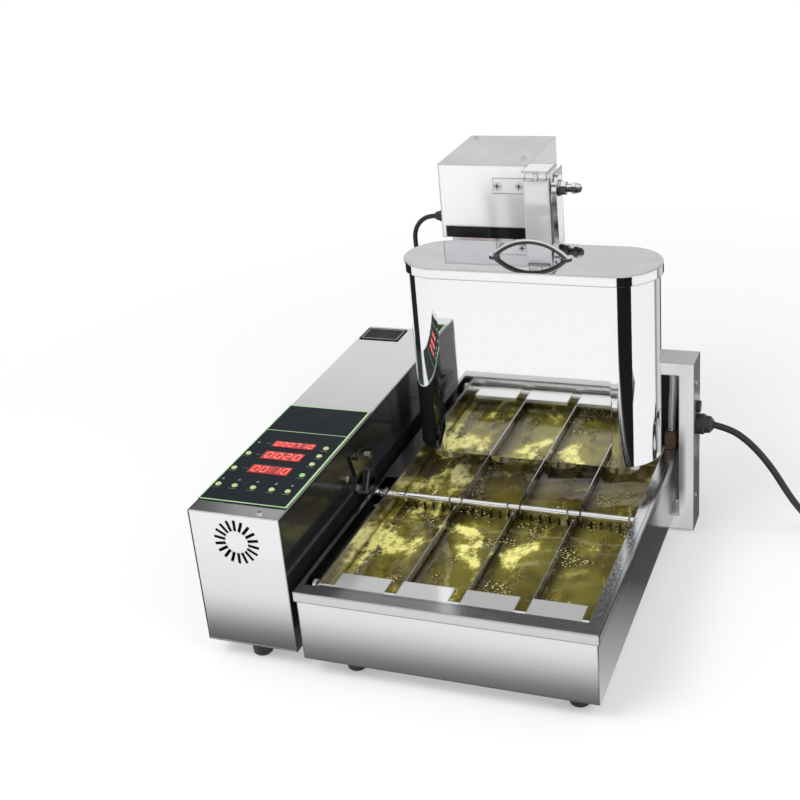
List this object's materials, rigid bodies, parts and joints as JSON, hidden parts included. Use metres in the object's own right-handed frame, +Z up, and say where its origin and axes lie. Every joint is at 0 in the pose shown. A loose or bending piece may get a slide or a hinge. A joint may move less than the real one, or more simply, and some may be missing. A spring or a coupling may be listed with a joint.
{
  "type": "donut maker",
  "caption": "Counter-top mini-donut fryer with oil lanes, a turner, a batter hopper with plungers and a lid, a motor box, and a control box with push buttons.",
  "frame": {"origin": "on the floor under the middle of the machine's extents, its cord left out", "axes": "+X to the machine's right, +Y from its front to its back, +Z up"},
  "size_m": [0.7445, 0.612, 0.435],
  "materials": {
    "polished_steel": "mirror polished",
    "satin_steel": "satin",
    "dark_steel": "semi-gloss",
    "black_plastic": "matt",
    "black_rubber": "matt",
    "overlay_film": "satin print",
    "display_red": "clear",
    "lamp_red": "clear",
    "button_cap": "satin",
    "board_green": "satin",
    "bush_brass": "satin",
    "terminal_brown": "satin"
  },
  "bodies": {
    "machine": {"hopper_shell": "polished_steel", "hopper_floor": "polished_steel", "motor_box_cover": "polished_steel", "drive_guard": "polished_steel", "base_shell": "satin_steel", "rim_frame": "satin_steel", "control_cover": "satin_steel", "control_front_panel": "satin_steel", "portal_frame": "satin_steel", "base_pan": "satin_steel", "control_chassis": "satin_steel", "box_spacers": "satin_steel", "oil_tank": "satin_steel", "lane_rack": "satin_steel", "hopper_nozzles": "satin_steel", "guide_rods": "satin_steel", "sheet_screws": "satin_steel", "heating_element": "satin_steel", "thermostat_bulb": "satin_steel", "heater_conduit": "satin_steel", "motor_tower": "dark_steel", "bearing_bracket": "dark_steel", "turner_gear_motor": "dark_steel", "depositor_gear_motor": "dark_steel", "cable_glands": "black_plastic", "fan_frame": "black_plastic", "mains_plug": "black_plastic", "feet": "black_rubber", "mains_cord": "black_rubber", "cord_coil": "black_rubber", "motor_lead": "black_rubber", "control_overlay": "overlay_film", "badge_plate": "overlay_film", "display_windows": "display_red", "indicator_lamps": "lamp_red", "control_board": "board_green", "shaft_bushes": "bush_brass", "terminal_block": "terminal_brown"},
    "turner": {"turner": "satin_steel"},
    "exit_lifter": {"exit_lifter": "satin_steel"},
    "tie_bar": {"tie_bar": "satin_steel"},
    "rocker": {"rocker_arm": "satin_steel"},
    "connecting_rod": {"connecting_rod": "satin_steel"},
    "plunger_set": {"plunger_slide": "satin_steel", "crosshead": "satin_steel", "plungers": "satin_steel"},
    "lid": {"hopper_lid": "polished_steel", "lid_handle": "polished_steel"},
    "fan": {"fan_rotor": "black_plastic"},
    "button_1": {"button_1": "button_cap"},
    "button_2": {"button_2": "button_cap"},
    "button_3": {"button_3": "button_cap"},
    "button_4": {"button_4": "button_cap"},
    "button_5": {"button_5": "button_cap"},
    "button_6": {"button_6": "button_cap"},
    "button_7": {"button_7": "button_cap"},
    "button_8": {"button_8": "button_cap"},
    "button_9": {"button_9": "button_cap"},
    "button_10": {"button_10": "button_cap"},
    "button_11": {"button_11": "button_cap"}
  },
  "joints": [
    {"name": "turner_swing", "type": "hinge", "parent": "machine", "child": "turner", "pos_m": [0.0423, -0.065, 0.095], "axis": [1, 0, 0], "range_deg": [-60, 70]},
    {"name": "exit_swing", "type": "hinge", "parent": "machine", "child": "exit_lifter", "pos_m": [0.0423, -0.273, 0.095], "axis": [1, 0, 0], "range_deg": [-60, 70]},
    {"name": "tie_bar_pivot", "type": "hinge", "parent": "turner", "child": "tie_bar", "pos_m": [-0.1197, -0.06674, 0.07508], "axis": [1, 0, 0], "range_deg": [-70, 60]},
    {"name": "rocker_swing", "type": "hinge", "parent": "machine", "child": "rocker", "pos_m": [0.0163, 0.192, 0.408], "axis": [1, 0, 0], "range_deg": [-25, 25]},
    {"name": "rod_pivot", "type": "hinge", "parent": "rocker", "child": "connecting_rod", "pos_m": [0.0453, 0.164, 0.408], "axis": [1, 0, 0], "range_deg": [-25, 25]},
    {"name": "plunger_lift", "type": "slide", "parent": "machine", "child": "plunger_set", "axis": [0, 0, 1], "range_m": [-0.01184, 0.01184]},
    {"name": "lid_lift", "type": "slide", "parent": "machine", "child": "lid", "axis": [0, 0, 1], "range_m": [0, 0.15]},
    {"name": "fan_spin", "type": "hinge", "parent": "machine", "child": "fan", "pos_m": [-0.1907, -0.2876, 0.154], "axis": [0, 1, 0], "continuous": true},
    {"name": "button_1_press", "type": "slide", "parent": "machine", "child": "button_1", "axis": [0, 0, -1], "range_m": [0, 0.0008], "stiffness_N_per_m": 600, "springref_m": -0.001},
    {"name": "button_2_press", "type": "slide", "parent": "machine", "child": "button_2", "axis": [0, 0, -1], "range_m": [0, 0.0008], "stiffness_N_per_m": 600, "springref_m": -0.001},
    {"name": "button_3_press", "type": "slide", "parent": "machine", "child": "button_3", "axis": [0, 0, -1], "range_m": [0, 0.0008], "stiffness_N_per_m": 600, "springref_m": -0.001},
    {"name": "button_4_press", "type": "slide", "parent": "machine", "child": "button_4", "axis": [0, 0, -1], "range_m": [0, 0.0008], "stiffness_N_per_m": 600, "springref_m": -0.001},
    {"name": "button_5_press", "type": "slide", "parent": "machine", "child": "button_5", "axis": [0, 0, -1], "range_m": [0, 0.0008], "stiffness_N_per_m": 600, "springref_m": -0.001},
    {"name": "button_6_press", "type": "slide", "parent": "machine", "child": "button_6", "axis": [0, 0, -1], "range_m": [0, 0.0008], "stiffness_N_per_m": 600, "springref_m": -0.001},
    {"name": "button_7_press", "type": "slide", "parent": "machine", "child": "button_7", "axis": [0, 0, -1], "range_m": [0, 0.0008], "stiffness_N_per_m": 600, "springref_m": -0.001},
    {"name": "button_8_press", "type": "slide", "parent": "machine", "child": "button_8", "axis": [0, 0, -1], "range_m": [0, 0.0008], "stiffness_N_per_m": 600, "springref_m": -0.001},
    {"name": "button_9_press", "type": "slide", "parent": "machine", "child": "button_9", "axis": [0, 0, -1], "range_m": [0, 0.0008], "stiffness_N_per_m": 600, "springref_m": -0.001},
    {"name": "button_10_press", "type": "slide", "parent": "machine", "child": "button_10", "axis": [0, 0, -1], "range_m": [0, 0.0008], "stiffness_N_per_m": 600, "springref_m": -0.001},
    {"name": "button_11_press", "type": "slide", "parent": "machine", "child": "button_11", "axis": [0, 0, -1], "range_m": [0, 0.0008], "stiffness_N_per_m": 600, "springref_m": -0.001}
  ],
  "couplings": [
    {"joint": "exit_swing", "follows": "turner_swing", "ratio": 1},
    {"joint": "tie_bar_pivot", "follows": "turner_swing", "ratio": -1},
    {"joint": "rod_pivot", "follows": "rocker_swing", "ratio": -1},
    {"joint": "plunger_lift", "follows": "rocker_swing", "m_per_rad": -0.02712}
  ]
}
